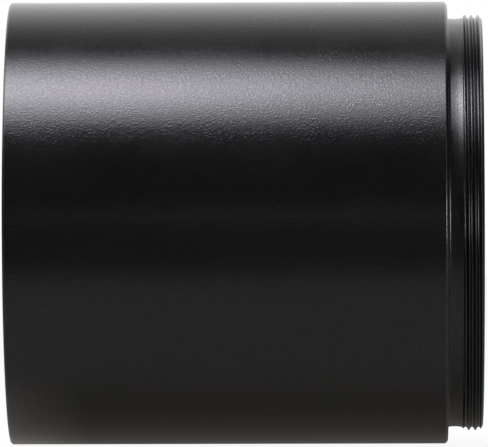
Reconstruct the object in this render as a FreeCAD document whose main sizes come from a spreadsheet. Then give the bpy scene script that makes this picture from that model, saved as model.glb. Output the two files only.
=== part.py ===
import FreeCAD, Part
import os
import re
import Sketcher

# A telescope extension tube with M48 x 0.75 threads, lying along X.
# X runs from the rear rim, at 0, to the male thread. +Z is up.

# Driving sizes in millimetres, counts and degrees.
SIZES = {
    # outer tube: wall outside the thread's nominal size, bore a step inside it
    "barrel_length": 50.2,
    "barrel_wall": 1.4,
    "bore_step": 0.8,
    "front_rim_chamfer": 0.3,
    "rear_rim_chamfer": 0.2,
    # thread form: male crests cut down to a flat, female roots just past the nominal size
    "thread_nominal": 48.0,
    "thread_pitch": 0.75,
    "thread_angle": 60.0,
    "thread_depth": 0.38,
    "crest_allowance": 0.12,
    "crest_flat": 0.1,
    "root_allowance": 0.05,
    "root_flat": 0.094,
    "thread_play": 0.17,
    "thread_overcut": 0.02,
    "relief_width": 0.9,
    "relief_depth": 0.1,
    # threaded ends of the outer tube
    "front_thread_depth": 5.35,
    "mating_thread_length": 5.0,
    "clamp_thread_length": 2.5,
    "mouth_chamfer": 0.47,
    # ring with the male thread: neck just below the thread's root, bore inside the nominal size
    "neck_length": 1.65,
    "neck_undercut": 0.07,
    "neck_rise": 0.04,
    "neck_fillet": 0.2,
    "male_thread_length": 2.35,
    "male_start_chamfer": 0.25,
    "male_end_chamfer": 0.3,
    "male_end_chamfer_depth": 0.5,
    "ring_end_chamfer": 0.3,
    "ring_wall": 2.0,
    "ring_bore_chamfer": 0.3,
    # ribs that break up light along the bores
    "rib_pitch": 1.0,
    "rib_depth": 0.35,
    "rib_angle": 60.0,
    "rib_margin": 1.2,
    # stack of baffles and spacers
    "slip_clearance": 0.05,
    "baffle_thickness": 1.0,
    "baffle_lip": 0.55,
    "baffle_edge": 0.15,
    "baffle_bevel": 1.2,
    "spacer_wall": 1.35,
    "spacer_chamfer": 0.2,
    # ring that clamps the stack
    "clamp_ring_length": 3.0,
    "clamp_ring_wall": 2.2,
    "clamp_ring_chamfer": 0.3,
    "clamp_projection": 0.3,
    "spanner_slot_width": 2.0,
    "spanner_slot_depth": 1.2,
}

# Places along X and radii that more than one piece uses, as expressions of the sizes.
BARREL_RADIUS = "(thread_nominal / 2 + barrel_wall)"
BARREL_BORE = "(thread_nominal / 2 - bore_step)"
RING_BORE = "(thread_nominal / 2 - ring_wall)"
CLAMP_RING_BORE = "(thread_nominal / 2 - clamp_ring_wall)"

MALE_CREST = "(thread_nominal / 2 - crest_allowance)"
MALE_ROOT = f"({MALE_CREST} - thread_depth)"
FEMALE_ROOT = "(thread_nominal / 2 + root_allowance)"
FEMALE_CREST = f"({MALE_ROOT} + thread_play)"
RELIEF = f"({FEMALE_ROOT} + relief_depth)"
NECK = f"({MALE_ROOT} - neck_undercut)"
FLANK = "tan(thread_angle / 2 * 1 deg)"

FRONT_SEAT = "(barrel_length - front_thread_depth)"
FRONT_HELIX = f"({FRONT_SEAT} + relief_width / 2)"
NOSE_END = "(barrel_length + neck_length + male_thread_length)"
REAR_SEAT = "(mating_thread_length + clamp_thread_length + 2 * relief_width)"
REAR_HELIX = "(-0.8 * thread_pitch)"
STACK_END = f"({REAR_SEAT} - clamp_projection)"
CLAMP_END = f"({STACK_END} - clamp_ring_length)"

STACK_RADIUS = f"({BARREL_BORE} - slip_clearance)"
SPACER_BORE = f"({STACK_RADIUS} - spacer_wall)"
BAFFLE_APERTURE = f"({SPACER_BORE} - baffle_lip)"
STACK_LENGTH = f"({FRONT_SEAT} - {STACK_END})"
SPACER_LENGTH = f"(({STACK_LENGTH} - 3 * baffle_thickness) / 2)"
MIDDLE_BAFFLE = f"({STACK_END} + baffle_thickness + {SPACER_LENGTH})"
FRONT_BAFFLE = f"({FRONT_SEAT} - baffle_thickness)"


def bound(text):
    """The expression with each size's name pointed at the sheet."""
    return re.sub(r"[a-z_]+", lambda word: sheet_name(word.group()), text)


def sheet_name(word):
    return "Sizes." + word if word in SIZES else word


def make_sheet():
    sheet = doc.addObject("Spreadsheet::Sheet", "Sizes")
    for row, (name, number) in enumerate(SIZES.items(), start=1):
        sheet.set(f"A{row}", name)
        sheet.set(f"B{row}", str(number))
        sheet.setAlias(f"B{row}", name)
    doc.recompute()


def make_body(name):
    body = doc.addObject("PartDesign::Body", name)
    body.Label = name
    body.Placement = FreeCAD.Placement()
    bodies.append(body)
    return body


def origin_part(body, role):
    return next(f for f in body.Origin.OriginFeatures if f.Role == role)


def outline(body, name, points):
    """A closed outline in the plane through the axis: points are (X, radius) expressions."""
    sketch = body.newObject("Sketcher::SketchObject", name)
    sketch.AttachmentSupport = [(origin_part(body, "XY_Plane"), "")]
    sketch.MapMode = "FlatFace"
    close_outline(sketch, points)
    return sketch


def close_outline(sketch, points):
    """Lines through the points in turn, each corner held by two bound distances."""
    corners = [FreeCAD.Vector(number(a), number(b), 0) for a, b in points]
    count = len(corners)
    for i in range(count):
        sketch.addGeometry(Part.LineSegment(corners[i], corners[(i + 1) % count]))
    for i in range(count):
        sketch.addConstraint(Sketcher.Constraint("Coincident", i, 2, (i + 1) % count, 1))
    for i, (along, across) in enumerate(points):
        for kind, value, text in (
            ("DistanceX", corners[i].x, along),
            ("DistanceY", corners[i].y, across),
        ):
            held = sketch.addConstraint(Sketcher.Constraint(kind, -1, 1, i, 1, value))
            sketch.setExpression(f"Constraints[{held}]", bound(text))


def number(text):
    """The value of an expression, for drawing the outline near its final place."""
    return float(doc.Sizes.evalExpression(text))


def turn(body, sketch, name):
    solid = body.newObject("PartDesign::Revolution", name)
    solid.Profile = sketch
    solid.ReferenceAxis = (sketch, ["H_Axis"])
    solid.Angle = 360
    doc.recompute()
    return solid


def cut_helix(body, name, start, height, near, far):
    """A helical groove. near and far are its (radius, half width) at the wall and at its floor."""
    sketch = outline(
        body,
        name + "Form",
        [
            (f"{start} - {near[1]}", near[0]),
            (f"{start} + {near[1]}", near[0]),
            (f"{start} + {far[1]}", far[0]),
            (f"{start} - {far[1]}", far[0]),
        ],
    )
    helix = body.newObject("PartDesign::SubtractiveHelix", name)
    helix.Profile = sketch
    helix.ReferenceAxis = (sketch, ["H_Axis"])
    helix.Mode = "pitch-height-angle"
    helix.LeftHanded = False
    helix.setExpression("Pitch", bound("thread_pitch"))
    helix.setExpression("Height", bound(height))
    doc.recompute()


def cut_male_thread(body, start, height):
    crest_half = "(thread_pitch - crest_flat) / 2"
    near = (f"{MALE_CREST} + thread_overcut", f"({crest_half} + thread_overcut * {FLANK})")
    far = (MALE_ROOT, f"({crest_half} - thread_depth * {FLANK})")
    cut_helix(body, "MaleThread", start, height, near, far)


def cut_female_thread(body, name, start, height):
    depth = f"({FEMALE_ROOT} - {FEMALE_CREST} + thread_overcut)"
    near = (f"{FEMALE_CREST} - thread_overcut", f"(root_flat / 2 + {depth} * {FLANK})")
    far = (FEMALE_ROOT, "root_flat / 2")
    cut_helix(body, name, start, height, near, far)


def cut_ribs(body, low, high, radius):
    """Equal V grooves along a bore, between two places on X."""
    room = f"({high} - {low} - 2 * rib_margin)"
    half = "rib_depth * tan(rib_angle / 2 * 1 deg)"
    first = f"({low} + rib_margin)"
    sketch = outline(
        body,
        "RibForm",
        [
            (f"{first} - {half}", radius),
            (f"{first} + {half}", radius),
            (first, f"{radius} + rib_depth"),
        ],
    )
    groove = body.newObject("PartDesign::Groove", "Rib")
    groove.Profile = sketch
    groove.ReferenceAxis = (sketch, ["H_Axis"])
    groove.Angle = 360
    doc.recompute()
    pattern = body.newObject("PartDesign::LinearPattern", "Ribs")
    pattern.Originals = [groove]
    pattern.Direction = (origin_part(body, "X_Axis"), [""])
    pattern.setExpression("Occurrences", bound(f"floor({room} / rib_pitch) + 1"))
    pattern.setExpression("Length", bound(f"floor({room} / rib_pitch) * rib_pitch"))
    body.Tip = pattern
    doc.recompute()


def make_barrel():
    """Outer tube: a bore between two threaded counterbores, each with a thread relief."""
    body = make_body("barrel")
    rear_relief = f"{REAR_SEAT} - relief_width"
    front_relief = f"{FRONT_SEAT} + relief_width"
    sketch = outline(
        body,
        "BarrelOutline",
        [
            ("0", f"{BARREL_RADIUS} - rear_rim_chamfer"),
            ("rear_rim_chamfer", BARREL_RADIUS),
            ("barrel_length - front_rim_chamfer", BARREL_RADIUS),
            ("barrel_length", f"{BARREL_RADIUS} - front_rim_chamfer"),
            ("barrel_length", f"{FEMALE_CREST} + mouth_chamfer"),
            ("barrel_length - mouth_chamfer", FEMALE_CREST),
            (front_relief, FEMALE_CREST),
            (front_relief, RELIEF),
            (FRONT_SEAT, RELIEF),
            (FRONT_SEAT, BARREL_BORE),
            (REAR_SEAT, BARREL_BORE),
            (REAR_SEAT, RELIEF),
            (rear_relief, RELIEF),
            (rear_relief, FEMALE_CREST),
            ("mating_thread_length + relief_width", FEMALE_CREST),
            ("mating_thread_length + relief_width", RELIEF),
            ("mating_thread_length", RELIEF),
            ("mating_thread_length", FEMALE_CREST),
            ("mouth_chamfer", FEMALE_CREST),
            ("0", f"{FEMALE_CREST} + mouth_chamfer"),
        ],
    )
    turn(body, sketch, "BarrelTurned")
    rear_height = f"{REAR_SEAT} - relief_width / 2 - {REAR_HELIX}"
    cut_female_thread(body, "RearThread", REAR_HELIX, rear_height)
    front_height = "front_thread_depth - relief_width / 2 + thread_pitch"
    cut_female_thread(body, "FrontThread", FRONT_HELIX, front_height)


def make_nose_ring():
    """Ring threaded inside and out of the barrel, with a neck turned down between."""
    body = make_body("nose_ring")
    neck_end = "barrel_length + neck_length"
    sketch = outline(
        body,
        "RingOutline",
        [
            (FRONT_SEAT, f"{MALE_CREST} - ring_end_chamfer"),
            (f"{FRONT_SEAT} + ring_end_chamfer", MALE_CREST),
            ("barrel_length", MALE_CREST),
            ("barrel_length", f"{NECK} + neck_fillet"),
            ("barrel_length + neck_fillet", NECK),
            (neck_end, f"{NECK} + neck_rise"),
            (f"{neck_end} + male_start_chamfer", MALE_CREST),
            (f"{NOSE_END} - male_end_chamfer", MALE_CREST),
            (NOSE_END, f"{MALE_CREST} - male_end_chamfer_depth"),
            (NOSE_END, f"{RING_BORE} + ring_bore_chamfer"),
            (f"{NOSE_END} - ring_bore_chamfer", RING_BORE),
            (FRONT_SEAT, RING_BORE),
        ],
    )
    turn(body, sketch, "RingTurned")
    cut_ribs(body, FRONT_SEAT, NOSE_END, RING_BORE)
    start = f"({FRONT_HELIX} - 1.5 * thread_pitch)"
    cut_male_thread(body, start, f"{NOSE_END} - {start} + thread_pitch")


def make_baffle(name, place):
    """Thin ring with a knife edge, its flat side toward the male thread."""
    body = make_body(name)
    sketch = outline(
        body,
        "BaffleOutline",
        [
            (place, STACK_RADIUS),
            (place, f"{BAFFLE_APERTURE} + baffle_bevel"),
            (f"{place} + baffle_thickness - baffle_edge", BAFFLE_APERTURE),
            (f"{place} + baffle_thickness", BAFFLE_APERTURE),
            (f"{place} + baffle_thickness", STACK_RADIUS),
        ],
    )
    turn(body, sketch, "BaffleTurned")


def make_spacer(name, place):
    """Ribbed sleeve that holds two baffles apart."""
    body = make_body(name)
    sketch = outline(
        body,
        "SpacerOutline",
        [
            (place, f"{STACK_RADIUS} - spacer_chamfer"),
            (f"{place} + spacer_chamfer", STACK_RADIUS),
            (f"{place} + {SPACER_LENGTH} - spacer_chamfer", STACK_RADIUS),
            (f"{place} + {SPACER_LENGTH}", f"{STACK_RADIUS} - spacer_chamfer"),
            (f"{place} + {SPACER_LENGTH}", SPACER_BORE),
            (place, SPACER_BORE),
        ],
    )
    turn(body, sketch, "SpacerTurned")
    cut_ribs(body, place, f"({place} + {SPACER_LENGTH})", SPACER_BORE)


def make_retaining_ring():
    """Threaded ring that clamps the stack, with two spanner slots in its rear face."""
    body = make_body("retaining_ring")
    sketch = outline(
        body,
        "ClampOutline",
        [
            (CLAMP_END, f"{MALE_CREST} - clamp_ring_chamfer"),
            (f"{CLAMP_END} + clamp_ring_chamfer", MALE_CREST),
            (f"{STACK_END} - clamp_ring_chamfer", MALE_CREST),
            (STACK_END, f"{MALE_CREST} - clamp_ring_chamfer"),
            (STACK_END, CLAMP_RING_BORE),
            (f"{CLAMP_END} + clamp_ring_chamfer", CLAMP_RING_BORE),
            (CLAMP_END, f"{CLAMP_RING_BORE} + clamp_ring_chamfer"),
        ],
    )
    turn(body, sketch, "ClampTurned")
    cut_spanner_slots(body)
    turns_before = f"floor(({CLAMP_END} - {REAR_HELIX}) / thread_pitch - 1.5)"
    start = f"({REAR_HELIX} + ({turns_before} + 0.5) * thread_pitch)"
    cut_male_thread(body, start, "clamp_ring_length + 3 * thread_pitch")


def cut_spanner_slots(body):
    sketch = body.newObject("Sketcher::SketchObject", "SlotOutline")
    sketch.AttachmentSupport = [(origin_part(body, "YZ_Plane"), "")]
    sketch.MapMode = "FlatFace"
    sketch.setExpression("AttachmentOffset.Base.z", bound(CLAMP_END))
    side = "spanner_slot_width / 2"
    close_outline(
        sketch,
        [
            (f"-{side}", "-thread_nominal"),
            (side, "-thread_nominal"),
            (side, "thread_nominal"),
            (f"-{side}", "thread_nominal"),
        ],
    )
    before = body.Shape.Volume
    slots = body.newObject("PartDesign::Pocket", "SpannerSlots")
    slots.Profile = sketch
    slots.Reversed = True
    slots.setExpression("Length", bound("spanner_slot_depth"))
    doc.recompute()
    if body.Shape.Volume >= before:
        raise RuntimeError("the spanner slots cut nothing")


def check_and_write():
    doc.recompute()
    for item in doc.Objects:
        if {"Invalid", "Error"} & set(item.State):
            raise RuntimeError(f"{item.Label}: {item.State}")
    for body in bodies:
        if body.Shape.isNull() or not body.Shape.isValid():
            raise RuntimeError(f"{body.Label} has no valid shape")
    os.makedirs("parts", exist_ok=True)
    for body in bodies:
        body.Shape.exportStep(f"parts/{body.Label}.step")
        print(body.Label, len(body.Shape.Solids), round(body.Shape.Volume, 1), body.Shape.BoundBox)


doc = FreeCAD.newDocument("extension_tube")
bodies = []
make_sheet()
make_barrel()
make_nose_ring()
make_baffle("front_baffle", FRONT_BAFFLE)
make_spacer("front_spacer", f"({MIDDLE_BAFFLE} + baffle_thickness)")
make_baffle("middle_baffle", MIDDLE_BAFFLE)
make_spacer("rear_spacer", f"({STACK_END} + baffle_thickness)")
make_baffle("rear_baffle", STACK_END)
make_retaining_ring()
check_and_write()
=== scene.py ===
from math import atan2, ceil, cos, hypot, pi, radians, sin, tan, tau

import bmesh
import bpy
from mathutils import Matrix


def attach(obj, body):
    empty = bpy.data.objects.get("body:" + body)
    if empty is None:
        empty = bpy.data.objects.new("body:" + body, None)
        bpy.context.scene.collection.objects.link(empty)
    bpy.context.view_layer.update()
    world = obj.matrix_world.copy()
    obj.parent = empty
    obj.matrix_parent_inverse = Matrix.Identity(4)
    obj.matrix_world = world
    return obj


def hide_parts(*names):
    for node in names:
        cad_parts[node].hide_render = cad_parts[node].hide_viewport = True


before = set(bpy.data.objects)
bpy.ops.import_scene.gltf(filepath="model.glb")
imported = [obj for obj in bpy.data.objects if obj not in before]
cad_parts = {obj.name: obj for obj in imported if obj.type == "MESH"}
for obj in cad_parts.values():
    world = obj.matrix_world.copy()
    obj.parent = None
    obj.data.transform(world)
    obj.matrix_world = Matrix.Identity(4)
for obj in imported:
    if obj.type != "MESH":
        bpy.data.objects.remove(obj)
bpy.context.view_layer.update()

# A 2 inch telescope extension tube with M48 threads. It lies along X, rear rim at 0.
# Outlines are in millimetres, as (place along X, radius), and become metres in the mesh.
MM = 0.001
SIDES = 256
WELD = 2e-6
TOUCHING = 1e-7
TINY = 1e-8
SHARP = radians(50)

# Threads. A groove's place is where it crosses +Y.
PITCH = 0.75
FLANK_ANGLE = radians(30)
MALE_CREST = 23.88
MALE_ROOT = 23.5
CREST_FLAT = 0.1
FEMALE_CREST = 23.67
FEMALE_ROOT = 24.05
ROOT_FLAT = 0.094
CREST_ROUNDING = 0.038
MALE_ROOT_ROUNDING = 0.1
FEMALE_ROOT_ROUNDING = 0.04
MALE_END = MALE_ROOT - 0.12
RELIEF = FEMALE_ROOT + 0.1
RELIEF_WIDTH = 0.9

# Places along the tube
BARREL_END = 50.2
NOSE_END = 54.2
FRONT_SEAT = 44.85
FRONT_GROOVE = FRONT_SEAT + RELIEF_WIDTH / 2
REAR_SEAT = 9.3
REAR_GROOVE = -0.6
CLAMP_START = 6.0
CLAMP_END = 9.0
CLAMP_GROOVE = REAR_GROOVE + 7.5 * PITCH
BAFFLE = 1.0
SPACER = 16.425
REAR_STACK = CLAMP_END
MIDDLE_STACK = REAR_STACK + BAFFLE + SPACER
FRONT_STACK = FRONT_SEAT - BAFFLE

# Radii
BARREL = 25.4
BORE = 23.2
STACK = 23.15
SPACER_BORE = 21.8
APERTURE = 21.25
RING_BORE = 22.0
CLAMP_BORE = 21.8

# Chamfers of the edges that rub
FRONT_CHAMFER = 0.3
REAR_CHAMFER = 0.2
END_CHAMFER = 0.3

# Finishes: the darkest and the lightest shade of each black, and rubbed edges
OUTER_BLACK = ((0.006, 0.006, 0.0068), (0.0085, 0.0085, 0.0093))
INNER_BLACK = ((0.005, 0.005, 0.0055), (0.008, 0.008, 0.0085))
RUBBED = (0.12, 0.118, 0.115)


# Meshes


def wire(bm, points, rounding=0.0, closed=False):
    """An outline of (X, radius) points, its corners rounded off."""
    corners = [bm.verts.new((x * MM, radius * MM, 0)) for x, radius in points]
    for pair in zip(corners, corners[1:]):
        bm.edges.new(pair)
    if closed:
        bm.edges.new((corners[-1], corners[0]))
    if rounding:
        round_off(bm, corners if closed else corners[1:-1], rounding)
    return corners


def round_off(bm, corners, rounding):
    """Rounds corners of an outline off, from this far before them to this far after."""
    bmesh.ops.bevel(
        bm,
        geom=corners,
        offset=rounding * MM,
        segments=2,
        profile=0.5,
        affect="VERTICES",
        material=-1,
    )


def lathe(points, rounding=0.0, closed=False):
    """The surface that an outline leaves when it turns once round the X axis."""
    bm = bmesh.new()
    wire(bm, points, rounding, closed)
    bmesh.ops.spin(
        bm,
        geom=bm.verts[:] + bm.edges[:],
        axis=(1, 0, 0),
        angle=tau,
        steps=SIDES,
        use_merge=True,
    )
    return bm


def set_radius(vert, radius, along=None):
    """Moves a point to this radius, and to this place on X, in millimetres."""
    turn = atan2(vert.co.z, vert.co.y)
    vert.co.y = radius * MM * cos(turn)
    vert.co.z = radius * MM * sin(turn)
    if along is not None:
        vert.co.x = along * MM


def cut(bm, place, facing=(1, 0, 0), side=None):
    """Cuts along a plane, its place in metres, and drops what lies before or after it."""
    bmesh.ops.bisect_plane(
        bm,
        geom=bm.verts[:] + bm.edges[:] + bm.faces[:],
        dist=TINY,
        plane_co=place,
        plane_no=facing,
        clear_inner=side == "before",
        clear_outer=side == "after",
    )


def collar(bm, place, ring):
    """Closes a thread's ragged end at a place on X down to one true circle, (X, radius)."""
    rim = [
        e
        for e in bm.edges
        if e.is_boundary and all(abs(v.co.x - place * MM) < TOUCHING for v in e.verts)
    ]
    grown = bmesh.ops.extrude_edge_only(bm, edges=rim)["geom"]
    fresh = [g for g in grown if isinstance(g, bmesh.types.BMVert)]
    share = {v: atan2(v.co.z, v.co.y) / tau * SIDES for v in fresh}
    regular, extra = {}, {}
    for vert in sorted(fresh, key=lambda v: abs(share[v] - round(share[v]))):
        nearest = round(share[vert]) % SIDES
        if nearest in regular:
            extra[vert] = regular[nearest]
        regular.setdefault(nearest, vert)
        set_radius(vert, ring[1], ring[0])
    bmesh.ops.weld_verts(bm, targetmap=extra)


def thread(wall, floor, middle, low, high, low_ring, high_ring, limits):
    """A right-hand thread from low to high on X, each end closed down to a true circle.

    wall and floor are the radii beside the groove and in it, middle is the groove's
    place, and limits is the outline that the crests are cut down to.
    """
    inside = floor > wall
    bm = thread_turns(wall, floor, middle, low, high)
    cut(bm, (low * MM, 0, 0), side="before")
    cut(bm, (high * MM, 0, 0), side="after")
    longest_taper, slices = 1.0, 4
    for (start, _), (end, _) in zip(limits, limits[1:]):
        if end - start < longest_taper:
            for k in range(slices + 1):
                cut(bm, ((start + (end - start) * k / slices) * MM, 0, 0))
    for vert in bm.verts:
        limit = on_outline(limits, vert.co.x / MM)
        radius = hypot(vert.co.y, vert.co.z) / MM
        if (radius < limit) == inside and radius != limit:
            set_radius(vert, limit)
    collar(bm, low, low_ring)
    collar(bm, high, high_ring)
    return bm


def thread_turns(wall, floor, middle, low, high):
    """Whole turns of a thread, from before low to past high."""
    inside = floor > wall
    run = abs(floor - wall) * tan(FLANK_ANGLE)
    wall_half = ROOT_FLAT / 2 + run if inside else (PITCH - CREST_FLAT) / 2
    floor_half = wall_half - run
    half = PITCH / 2
    first = middle - PITCH * ceil((middle - low + half) / PITCH)
    turns = ceil((high - first - half) / PITCH) + 1
    bm = bmesh.new()
    outline = [
        (first - half, wall),
        (first - wall_half, wall),
        (first - floor_half, floor),
        (first + floor_half, floor),
        (first + wall_half, wall),
        (first + half, wall),
    ]
    corners = wire(bm, outline)
    round_off(bm, corners[2:4], FEMALE_ROOT_ROUNDING if inside else MALE_ROOT_ROUNDING)
    round_off(bm, corners[1:5:3], CREST_ROUNDING)
    bmesh.ops.spin(
        bm,
        geom=bm.verts[:] + bm.edges[:],
        axis=(1, 0, 0),
        dvec=(PITCH * MM / SIDES, 0, 0),
        angle=tau,
        steps=SIDES,
    )
    one_turn = bm.verts[:] + bm.edges[:] + bm.faces[:]
    for k in range(1, turns):
        copy = bmesh.ops.duplicate(bm, geom=one_turn)["geom"]
        verts = [g for g in copy if isinstance(g, bmesh.types.BMVert)]
        bmesh.ops.translate(bm, verts=verts, vec=(k * PITCH * MM, 0, 0))
    bmesh.ops.remove_doubles(bm, verts=bm.verts[:], dist=WELD)
    return bm


def on_outline(outline, along):
    """The radius of an outline of (X, radius) points at a place on X."""
    for (a, first), (b, last) in zip(outline, outline[1:]):
        if along <= b:
            return first + (last - first) * max(0.0, along - a) / (b - a)
    return outline[-1][1]


def ribs(low, high, radius):
    """The V grooves along a bore, as outline points from low to high."""
    margin, spacing, depth = 1.2, 1.0, 0.35
    half = depth * tan(radians(30))
    count = int((high - low - 2 * margin) / spacing) + 1
    points = []
    for k in range(count):
        place = low + margin + k * spacing
        points += [(place - half, radius), (place, radius + depth), (place + half, radius)]
    return points


def closed_shell(parts):
    """One closed surface from turned and threaded parts that meet at their rims."""
    whole = bmesh.new()
    for part in parts:
        carried = bpy.data.meshes.new("carried")
        part.to_mesh(carried)
        part.free()
        whole.from_mesh(carried)
        bpy.data.meshes.remove(carried)
    bmesh.ops.remove_doubles(whole, verts=whole.verts[:], dist=WELD)
    bmesh.ops.dissolve_degenerate(whole, edges=whole.edges[:], dist=TINY)
    return whole


def finish_piece(bm, name, body, material):
    """Checks a closed mesh, shades it and puts it in the place of its CAD node."""
    bmesh.ops.recalc_face_normals(bm, faces=bm.faces[:])
    gaps = [e for e in bm.edges if not e.is_manifold]
    if gaps:
        raise RuntimeError(f"{name} has {len(gaps)} open or doubled edges")
    for face in bm.faces:
        face.smooth = True
    for edge in bm.edges:
        edge.smooth = edge.calc_face_angle(0.0) < SHARP
    mesh = bpy.data.meshes.new(name)
    bm.to_mesh(mesh)
    bm.free()
    mesh.materials.append(material)
    piece = bpy.data.objects.new(name + "_finished", mesh)
    bpy.context.scene.collection.objects.link(piece)
    shading = piece.modifiers.new("flat_faces_stay_flat", "WEIGHTED_NORMAL")
    shading.keep_sharp = True
    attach(piece, body)
    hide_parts(name)
    return piece


def barrel():
    female = (FEMALE_CREST, FEMALE_ROOT)
    mouth = 0.47
    wide_mouth = FEMALE_CREST + mouth
    relief_start = 5.0
    relief_end = relief_start + RELIEF_WIDTH
    seat_relief = REAR_SEAT - RELIEF_WIDTH
    front_relief = FRONT_SEAT + RELIEF_WIDTH
    rear = thread(
        *female,
        REAR_GROOVE,
        0.0,
        relief_start,
        (0.0, RELIEF),
        (relief_start, RELIEF),
        [(0.0, wide_mouth), (mouth, FEMALE_CREST), (relief_start, FEMALE_CREST)],
    )
    clamp = thread(
        *female,
        REAR_GROOVE,
        relief_end,
        seat_relief,
        (relief_end, RELIEF),
        (seat_relief, RELIEF),
        [(relief_end, FEMALE_CREST), (seat_relief, FEMALE_CREST)],
    )
    front = thread(
        *female,
        FRONT_GROOVE,
        front_relief,
        BARREL_END,
        (front_relief, RELIEF),
        (BARREL_END, RELIEF),
        [
            (front_relief, FEMALE_CREST),
            (BARREL_END - mouth, FEMALE_CREST),
            (BARREL_END, wide_mouth),
        ],
    )
    between = lathe([(relief_start, RELIEF), (relief_end, RELIEF)])
    bore = lathe(
        [
            (seat_relief, RELIEF),
            (REAR_SEAT, RELIEF),
            (REAR_SEAT, BORE),
            (FRONT_SEAT, BORE),
            (FRONT_SEAT, RELIEF),
            (front_relief, RELIEF),
        ],
        rounding=0.05,
    )
    outside = lathe(
        [
            (BARREL_END, RELIEF),
            (BARREL_END, BARREL - FRONT_CHAMFER),
            (BARREL_END - FRONT_CHAMFER, BARREL),
            (REAR_CHAMFER, BARREL),
            (0.0, BARREL - REAR_CHAMFER),
            (0.0, RELIEF),
        ],
        rounding=0.075,
    )
    return closed_shell([rear, between, clamp, bore, front, outside])


def nose_ring():
    """The front ring: a hidden thread in the barrel, then the neck and the male thread."""
    male = (MALE_CREST, MALE_ROOT)
    groove = FRONT_GROOVE - 1.5 * PITCH
    neck = MALE_ROOT - 0.07
    shoulder = neck + 0.15
    foot = (BARREL_END, shoulder + 0.02)
    neck_end = 51.85
    rise = (neck_end - 0.04, neck + 0.1)
    hidden_chamfer = 0.3
    runout, start_chamfer = 0.25, 0.25
    end_drop = 0.5
    tip = (NOSE_END, MALE_CREST - end_drop - 0.05)
    bore_chamfer = 0.3
    hidden = thread(
        *male,
        groove,
        FRONT_SEAT,
        BARREL_END,
        (FRONT_SEAT, MALE_END),
        foot,
        [
            (FRONT_SEAT, MALE_CREST - hidden_chamfer),
            (FRONT_SEAT + hidden_chamfer, MALE_CREST),
            (BARREL_END - runout, MALE_CREST),
            (BARREL_END, shoulder),
        ],
    )
    shown = thread(
        *male,
        groove,
        neck_end,
        NOSE_END,
        rise,
        tip,
        [
            (neck_end, rise[1]),
            (neck_end + start_chamfer, MALE_CREST),
            (NOSE_END - END_CHAMFER, MALE_CREST),
            (NOSE_END, MALE_CREST - end_drop),
        ],
    )
    hollow = ((0.12, 0.05), (0.4, 0.022), (0.75, 0.006), (1.1, 0.012), (1.4, 0.045))
    waist = lathe(
        [foot, *((BARREL_END + along, neck + height) for along, height in hollow), rise],
        rounding=0.07,
    )
    inside = lathe(
        [
            tip,
            (NOSE_END, RING_BORE + bore_chamfer),
            (NOSE_END - bore_chamfer, RING_BORE),
            *reversed(ribs(FRONT_SEAT, NOSE_END, RING_BORE)),
            (FRONT_SEAT, RING_BORE),
            (FRONT_SEAT, MALE_END),
        ],
        rounding=0.03,
    )
    return closed_shell([hidden, waist, shown, inside])


def baffle(place):
    """A thin ring with a knife edge."""
    bevel, edge = 1.2, 0.15
    end = place + BAFFLE
    return lathe(
        [
            (place, STACK),
            (place, APERTURE + bevel),
            (end - edge, APERTURE),
            (end, APERTURE),
            (end, STACK),
        ],
        rounding=0.03,
        closed=True,
    )


def spacer(place):
    """A ribbed sleeve."""
    chamfer = 0.2
    end = place + SPACER
    return lathe(
        [
            (place, STACK - chamfer),
            (place + chamfer, STACK),
            (end - chamfer, STACK),
            (end, STACK - chamfer),
            (end, SPACER_BORE),
            *reversed(ribs(place, end, SPACER_BORE)),
            (place, SPACER_BORE),
        ],
        rounding=0.03,
        closed=True,
    )


def retaining_ring():
    """The threaded ring that clamps baffles and spacers."""
    chamfer = 0.3
    slot_depth, slot_half = 1.2, 1.0
    tip = MALE_CREST - chamfer
    outside = thread(
        MALE_CREST,
        MALE_ROOT,
        CLAMP_GROOVE,
        CLAMP_START,
        CLAMP_END,
        (CLAMP_START, MALE_END),
        (CLAMP_END, MALE_END),
        [
            (CLAMP_START, tip),
            (CLAMP_START + chamfer, MALE_CREST),
            (CLAMP_END - chamfer, MALE_CREST),
            (CLAMP_END, tip),
        ],
    )
    inside = lathe(
        [
            (CLAMP_END, MALE_END),
            (CLAMP_END, CLAMP_BORE),
            (CLAMP_START + chamfer, CLAMP_BORE),
            (CLAMP_START, CLAMP_BORE + chamfer),
            (CLAMP_START, MALE_END),
        ],
        rounding=0.03,
    )
    ring = closed_shell([outside, inside])
    cut_spanner_slots(ring, (CLAMP_START + slot_depth) * MM, slot_half * MM)
    return ring


def cut_spanner_slots(bm, floor, side):
    """Two slots across the ring's rear face, at the top and the bottom, in metres."""
    cut(bm, (0, side, 0), (0, 1, 0))
    cut(bm, (0, -side, 0), (0, 1, 0))
    cut(bm, (floor, 0, 0))
    centres = {f: f.calc_center_median() for f in bm.faces}
    inside = [f for f, c in centres.items() if abs(c.y) < side and c.x < floor]
    bmesh.ops.delete(bm, geom=inside, context="FACES")
    for up in (1, -1):
        rim = [e for e in bm.edges if e.is_boundary and e.verts[0].co.z * up > 0]
        low = {v for e in rim for v in e.verts if abs(v.co.x - floor) < TOUCHING}
        sills = []
        for y in (side, -side):
            corner = sorted((v for v in low if abs(v.co.y - y) < TOUCHING), key=lambda v: abs(v.co.z))
            sills.append(bm.edges.new((corner[0], corner[-1])))
            wall = [e for e in rim if all(abs(v.co.y - y) < TOUCHING for v in e.verts)]
            bmesh.ops.edgeloop_fill(bm, edges=wall + sills[-1:])
        bed = [e for e in rim if all(abs(v.co.x - floor) < TOUCHING for v in e.verts)]
        bmesh.ops.edgeloop_fill(bm, edges=bed + sills)


# Materials


def node(tree, kind, **settings):
    made = tree.nodes.new("ShaderNode" + kind)
    for name, value in settings.items():
        setattr(made, name, value)
    return made


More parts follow.
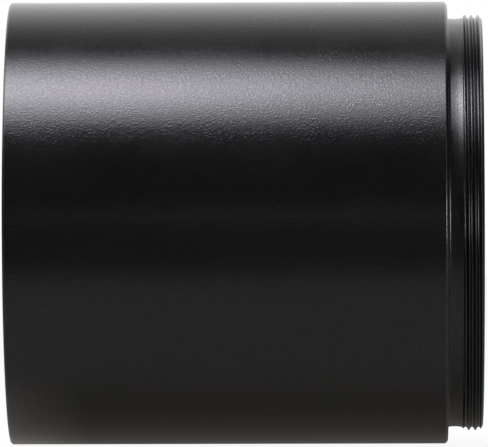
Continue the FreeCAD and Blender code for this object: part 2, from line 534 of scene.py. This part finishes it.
def feed(tree, made, **inputs):
    """Links or sets a node's inputs by name, with _ for a space, or by number after an _."""
    for name, value in inputs.items():
        key = int(name[1:]) if name[1:].isdigit() else name.replace("_", " ")
        if isinstance(value, bpy.types.NodeSocket):
            tree.links.new(value, made.inputs[key])
        else:
            made.inputs[key].default_value = value
    return made


def maths(tree, operation, *values):
    made = node(tree, "Math", operation=operation)
    feed(tree, made, **{f"_{i}": v for i, v in enumerate(values)})
    return made.outputs[0]


def spread(tree, value, low, high, new_low, new_high, curve="LINEAR"):
    """Carries the range from low to high over to a new range."""
    made = node(tree, "MapRange", interpolation_type=curve)
    feed(tree, made, Value=value, From_Min=low, From_Max=high, To_Min=new_low, To_Max=new_high)
    return made.outputs[0]


def noise(tree, place, scale, **settings):
    made = node(tree, "TexNoise")
    return feed(tree, made, Vector=place, Scale=scale, **settings).outputs["Fac"]


def blend(tree, mask, plain, other):
    """Two colours mixed by a mask."""
    made = node(tree, "Mix", data_type="RGBA")
    colours = [c if isinstance(c, bpy.types.NodeSocket) else (*c, 1.0) for c in (plain, other)]
    feed(tree, made, Factor=mask, _6=colours[0], _7=colours[1])
    return made.outputs[2]


def on_piece(tree):
    """A point's place on the piece."""
    return node(tree, "TexCoord").outputs["Object"]


def split(tree, place):
    return feed(tree, node(tree, "SeparateXYZ"), Vector=place).outputs


def from_axis(tree, parts):
    """The distance from the tube's axis."""
    squares = [maths(tree, "MULTIPLY", parts[axis], parts[axis]) for axis in ("Y", "Z")]
    return maths(tree, "SQRT", maths(tree, "ADD", *squares))


def group(name, inputs, outputs):
    tree = bpy.data.node_groups.new(name, "ShaderNodeTree")
    for label, value in inputs.items():
        socket = tree.interface.new_socket(label, in_out="INPUT", socket_type="NodeSocketFloat")
        socket.default_value = value
    for label in outputs:
        tree.interface.new_socket(label, in_out="OUTPUT", socket_type="NodeSocketFloat")
    taken = tree.nodes.new("NodeGroupInput")
    given = tree.nodes.new("NodeGroupOutput")
    return tree, taken.outputs, given.inputs


def placed(tree, made_group, **inputs):
    made = tree.nodes.new("ShaderNodeGroup")
    made.node_tree = made_group
    return feed(tree, made, **inputs).outputs


def blasted_grain():
    """Fine pits from bead blasting: a height, and a tone that varies slowly along the tube."""
    tree, taken, given = group("blasted_grain", {"Grains per metre": 5600.0}, ["Height", "Tone"])
    place = on_piece(tree)
    pits = noise(tree, place, taken["Grains per metre"], Detail=0.0)
    cloud = noise(tree, place, 140.0, Detail=3.0, Roughness=0.55)
    tree.links.new(maths(tree, "POWER", pits, 3.0), given["Height"])
    tree.links.new(cloud, given["Tone"])
    return tree


def turning_lines():
    """Lines that a lathe tool leaves round the axis, as a height and a tone."""
    tree, taken, given = group("turning_lines", {"Lines per metre": 12000.0}, ["Height", "Tone"])
    place = on_piece(tree)
    parts = split(tree, place)
    drift = 60.0
    outward = maths(tree, "ADD", parts["X"], from_axis(tree, parts))
    across = maths(tree, "MULTIPLY", outward, taken["Lines per metre"])
    round_y = maths(tree, "MULTIPLY", parts["Y"], drift)
    round_z = maths(tree, "MULTIPLY", parts["Z"], drift)
    along = feed(tree, node(tree, "CombineXYZ"), X=across, Y=round_y, Z=round_z)
    tree.links.new(noise(tree, along.outputs[0], 1.0, Detail=1.0), given["Height"])
    tree.links.new(noise(tree, place, 200.0, Detail=2.0), given["Tone"])
    return tree


def edge_wear():
    """A broken line of rubbed metal along a turned edge at one place and radius, in metres."""
    where = {"Place": 0.0, "Radius": BARREL * MM, "Reach": 0.0001}
    tree, taken, given = group("edge_wear", where, ["Mask"])
    place = on_piece(tree)
    parts = split(tree, place)
    out = maths(tree, "SUBTRACT", from_axis(tree, parts), taken["Radius"])
    along = maths(tree, "SUBTRACT", parts["X"], taken["Place"])
    squares = [maths(tree, "MULTIPLY", offset, offset) for offset in (out, along)]
    away = maths(tree, "SQRT", maths(tree, "ADD", *squares))
    rub = noise(tree, place, 900.0, Detail=4.0, Roughness=0.65)
    reach = maths(tree, "MULTIPLY", taken["Reach"], maths(tree, "MULTIPLY", rub, 2.0))
    mask = spread(tree, away, reach, 0.0, 0.0, 1.0, "SMOOTHSTEP")
    tree.links.new(mask, given["Mask"])
    return tree


def new_material(name):
    material = bpy.data.materials.new(name)
    material.use_nodes = True
    tree = material.node_tree
    return material, tree, tree.nodes["Principled BSDF"]


def uneven(tree, tone, shades):
    """A colour that drifts between two shades."""
    return blend(tree, spread(tree, tone, 0.35, 0.65, 0.0, 1.0), *shades)


def speckle(tree, shader, pits, dull):
    """The pits show less gloss than the skin around them."""
    feed(tree, shader, Metallic=spread(tree, pits["Height"], 0.03, 0.3, dull, 0.0))


def raise_surface(tree, shader, height, strength, depth):
    bump = feed(tree, node(tree, "Bump"), Height=height, Strength=strength, Distance=depth)
    feed(tree, shader, Normal=bump.outputs[0])


def blasted_black(grain, wear):
    """Bead-blasted, black anodised aluminium."""
    material, tree, shader = new_material("blasted_black")
    pits = placed(tree, grain)
    edge = {"Radius": BARREL * MM, "Reach": 0.00009}
    front = placed(tree, wear, Place=(BARREL_END - FRONT_CHAMFER) * MM, **edge)["Mask"]
    rear = placed(tree, wear, Place=REAR_CHAMFER * MM, **edge)["Mask"]
    rubbed = maths(tree, "MULTIPLY", maths(tree, "MAXIMUM", front, rear), 0.5)
    colour = blend(tree, rubbed, uneven(tree, pits["Tone"], OUTER_BLACK), RUBBED)
    rough = spread(tree, pits["Tone"], 0.3, 0.7, 0.19, 0.23)
    feed(tree, shader, Base_Color=colour, Roughness=rough, IOR=1.65, Specular_IOR_Level=0.59)
    speckle(tree, shader, pits, 0.24)
    raise_surface(tree, shader, pits["Height"], 1.0, 0.000017)
    return material


def turned_black(lines, grain, wear):
    """Turned, black anodised aluminium."""
    material, tree, shader = new_material("turned_black")
    marks = placed(tree, lines)
    pits = placed(tree, grain)
    edge = {"Place": (NOSE_END - END_CHAMFER) * MM, "Radius": MALE_CREST * MM, "Reach": 0.00008}
    rubbed = maths(tree, "MULTIPLY", placed(tree, wear, **edge)["Mask"], 0.6)
    colour = blend(tree, rubbed, uneven(tree, marks["Tone"], OUTER_BLACK), RUBBED)
    rough = spread(tree, marks["Tone"], 0.3, 0.7, 0.24, 0.28)
    feed(tree, shader, Base_Color=colour, Roughness=rough, IOR=1.67, Specular_IOR_Level=0.62)
    speckle(tree, shader, pits, 0.32)
    raise_surface(tree, shader, marks["Height"], 1.0, 0.000009)
    return material


def matt_black(lines, grain):
    """Matt black anodising inside the tube, over the marks of the lathe."""
    material, tree, shader = new_material("matt_black")
    marks = placed(tree, lines, Lines_per_metre=8000.0)
    pits = placed(tree, grain, Grains_per_metre=14000.0)
    rough = spread(tree, marks["Tone"], 0.3, 0.7, 0.55, 0.65)
    feed(tree, shader, Base_Color=uneven(tree, pits["Tone"], INNER_BLACK), Roughness=rough)
    height = maths(tree, "ADD", marks["Height"], maths(tree, "MULTIPLY", pits["Height"], 0.5))
    raise_surface(tree, shader, height, 0.2, 0.00001)
    return material


# Studio


def floor():
    """A floor under the tube, evenly white to the camera, with a painted pool of light in its colour and
    a painted reflection for the tube's gloss.
    """
    bm = bmesh.new()
    bmesh.ops.create_grid(bm, x_segments=1, y_segments=1, size=3.0)
    bmesh.ops.translate(bm, verts=bm.verts[:], vec=(0.025, 0, -BARREL * MM))
    mesh = bpy.data.meshes.new("floor")
    bm.to_mesh(mesh)
    bm.free()
    material = bpy.data.materials.new("pale_floor")
    material.use_nodes = True
    tree = material.node_tree
    tree.nodes.clear()
    rays = node(tree, "LightPath").outputs
    parts = split(tree, on_piece(tree))
    # Painted pool of light: lit masks the floor's colour and glow, lighter near, under and behind the
    # tube and darker well in front of it.
    lit = spread(tree, parts["Y"], -0.085, -0.04, 0.0, 1.0, "SMOOTHSTEP")
    painted_pool_colour = blend(tree, lit, (0.015, 0.015, 0.015), (0.1, 0.1, 0.1))
    pale = feed(tree, node(tree, "BsdfDiffuse"), Color=painted_pool_colour)
    seen = maths(tree, "MULTIPLY", rays["Is Camera Ray"], 0.93)
    # Painted reflection: glossy rays see the floor glow, with painted light and shade from the function
    # below.
    painted_reflection = maths(tree, "MULTIPLY", rays["Is Glossy Ray"], painted_floor_reflection(tree, lit, parts))
    strength = maths(tree, "ADD", seen, painted_reflection)
    # Warm tint of the painted reflection for glossy rays; plain white to the camera.
    painted_reflection_tint = blend(tree, rays["Is Camera Ray"], (1.0, 0.95, 0.88), (1.0, 1.0, 1.0))
    glow = feed(tree, node(tree, "Emission"), Color=painted_reflection_tint, Strength=strength)
    both = feed(tree, node(tree, "AddShader"), _0=pale.outputs[0], _1=glow.outputs[0])
    feed(tree, node(tree, "OutputMaterial"), Surface=both.outputs[0])
    mesh.materials.append(material)
    made = bpy.data.objects.new("floor", mesh)
    bpy.context.scene.collection.objects.link(made)


def painted_floor_reflection(tree, lit, parts):
    """The painted reflection of the floor in the tube's gloss: a painted pool of light, dim in front,
    with painted shadow under the tube that turns to painted light just past the rear rim.
    """
    # Painted pool of light: the glow is brighter where lit is high.
    bright = maths(tree, "ADD", maths(tree, "MULTIPLY", lit, 0.14), 0.07)
    # Painted shadow under the tube: this mask picks out the floor beneath it.
    under = spread(tree, parts["Y"], -0.02, -0.013, 0.0, 1.0, "SMOOTHSTEP")
    # Painted light just past the rear rim, and painted shade along the rest of the tube.
    painted_light_and_shade_along_tube = spread(tree, parts["X"], 0.0, 0.009, 0.6, -0.28)
    return maths(tree, "MULTIPLY", bright, maths(tree, "MULTIPLY_ADD", under, painted_light_and_shade_along_tube, 1.0))


def surroundings():
    """White behind the tube, dark on the camera's side."""
    world = bpy.data.worlds.new("studio")
    bpy.context.scene.world = world
    world.use_nodes = True
    tree = world.node_tree
    tree.nodes.clear()
    rays = node(tree, "LightPath").outputs
    parts = split(tree, node(tree, "TexCoord").outputs["Generated"])
    ramp = node(tree, "ValToRGB")
    stops = ramp.color_ramp.elements
    stops[0].position, stops[0].color = 0.4, (1.0, 1.0, 1.0, 1)
    stops[1].position, stops[1].color = 1.0, (0.04, 0.04, 0.04, 1)
    upward = ((0.656, 0.83), (0.784, 0.58), (0.872, 0.345), (0.927, 0.225), (0.966, 0.11))
    for position, grey in upward:
        stops.new(position).color = (grey, grey, grey, 1)
    feed(tree, ramp, Fac=parts["Z"])
    height_squared = maths(tree, "MULTIPLY", parts["Z"], parts["Z"])
    level = maths(tree, "SQRT", maths(tree, "SUBTRACT", 1.0001, height_squared))
    behind = maths(tree, "DIVIDE", parts["Y"], level)
    strength = spread(tree, behind, 0.62, 0.97, 0.035, 1.2, "SMOOTHSTEP")
    lit = feed(tree, node(tree, "Background"), Color=ramp.outputs[0], Strength=strength)
    white = feed(tree, node(tree, "Background"), Color=(1, 1, 1, 1), Strength=1.0)
    shown = node(tree, "MixShader")
    feed(tree, shown, _0=rays["Is Camera Ray"], _1=lit.outputs[0], _2=white.outputs[0])
    feed(tree, node(tree, "OutputWorld"), Surface=shown.outputs[0])


def softbox(name, centre, target, width, height, radiance, colour=(1.0, 1.0, 1.0)):
    """A rectangular lamp of one radiance, turned towards a target."""
    lamp = bpy.data.lights.new(name, "AREA")
    lamp.shape = "RECTANGLE"
    lamp.color = colour
    lamp.size = width
    lamp.size_y = height
    lamp.energy = radiance * pi * width * height
    made = bpy.data.objects.new(name, lamp)
    bpy.context.scene.collection.objects.link(made)
    place = Matrix.Translation(centre)
    aim = Matrix.Translation(target).to_translation() - place.to_translation()
    made.matrix_world = place @ aim.to_track_quat("-Z", "Y").to_matrix().to_4x4()


def overhead_lamps():
    """Nested softboxes whose reflection is the bright band, strongest in its middle.

    Each hangs a little lower than the last, so that no two share a plane.
    """
    layers = (("wide", 0.27, 0.03), ("broad", 0.2, 0.13), ("middle", 0.135, 0.03), ("core", 0.075, 0.09))
    width, radiance, colour = 0.3, 2.05, (0.943, 0.91, 1.0)
    for k, (name, depth, right_end) in enumerate(layers):
        along = right_end - width / 2
        centre = (along, -0.115, 0.333 - 0.002 * k)
        target = (along, -0.02, 0.015)
        softbox(name + "_softbox", centre, target, width, depth, radiance, colour)


def camera():
    lens = bpy.data.cameras.new("camera")
    lens.sensor_width = 36.0
    lens.lens = 608.95
    lens.clip_start = 0.05
    lens.clip_end = 20.0
    made = bpy.data.objects.new("camera", lens)
    bpy.context.scene.collection.objects.link(made)
    made.matrix_world = (
        Matrix.Translation((0.04063, -0.95, -0.00004))
        @ Matrix.Rotation(radians(0.833), 4, "Z")
        @ Matrix.Rotation(radians(90), 4, "X")
        @ Matrix.Rotation(radians(-0.151), 4, "Z")
    )
    bpy.context.scene.camera = made


grain = blasted_grain()
lines = turning_lines()
wear = edge_wear()
blasted = blasted_black(grain, wear)
turned = turned_black(lines, grain, wear)
matt = matt_black(lines, grain)

finish_piece(barrel(), "barrel", "tube", blasted)
finish_piece(nose_ring(), "nose_ring", "nose", turned)
finish_piece(retaining_ring(), "retaining_ring", "clamp", turned)
finish_piece(baffle(FRONT_STACK), "front_baffle", "front_stop", matt)
finish_piece(baffle(MIDDLE_STACK), "middle_baffle", "tube", matt)
finish_piece(baffle(REAR_STACK), "rear_baffle", "rear_stop", matt)
finish_piece(spacer(MIDDLE_STACK + BAFFLE), "front_spacer", "tube", matt)
finish_piece(spacer(REAR_STACK + BAFFLE), "rear_spacer", "tube", matt)

floor()
surroundings()
overhead_lamps()
softbox("side_lamp", (0.24, -0.18, 0.012), (0.05, -0.025, 0.0), 0.14, 0.075, 6.0)
softbox("front_lamp", (0.03, -0.9, 0.063), (0.03, 0.0, 0.0), 0.05, 0.05, 1.3)
softbox("rear_lamp", (-0.34, 0.11, 0.24), (0.005, 0.0, 0.0), 0.22, 0.16, 3.0)
camera()
bpy.context.scene.view_settings.view_transform = "Standard"
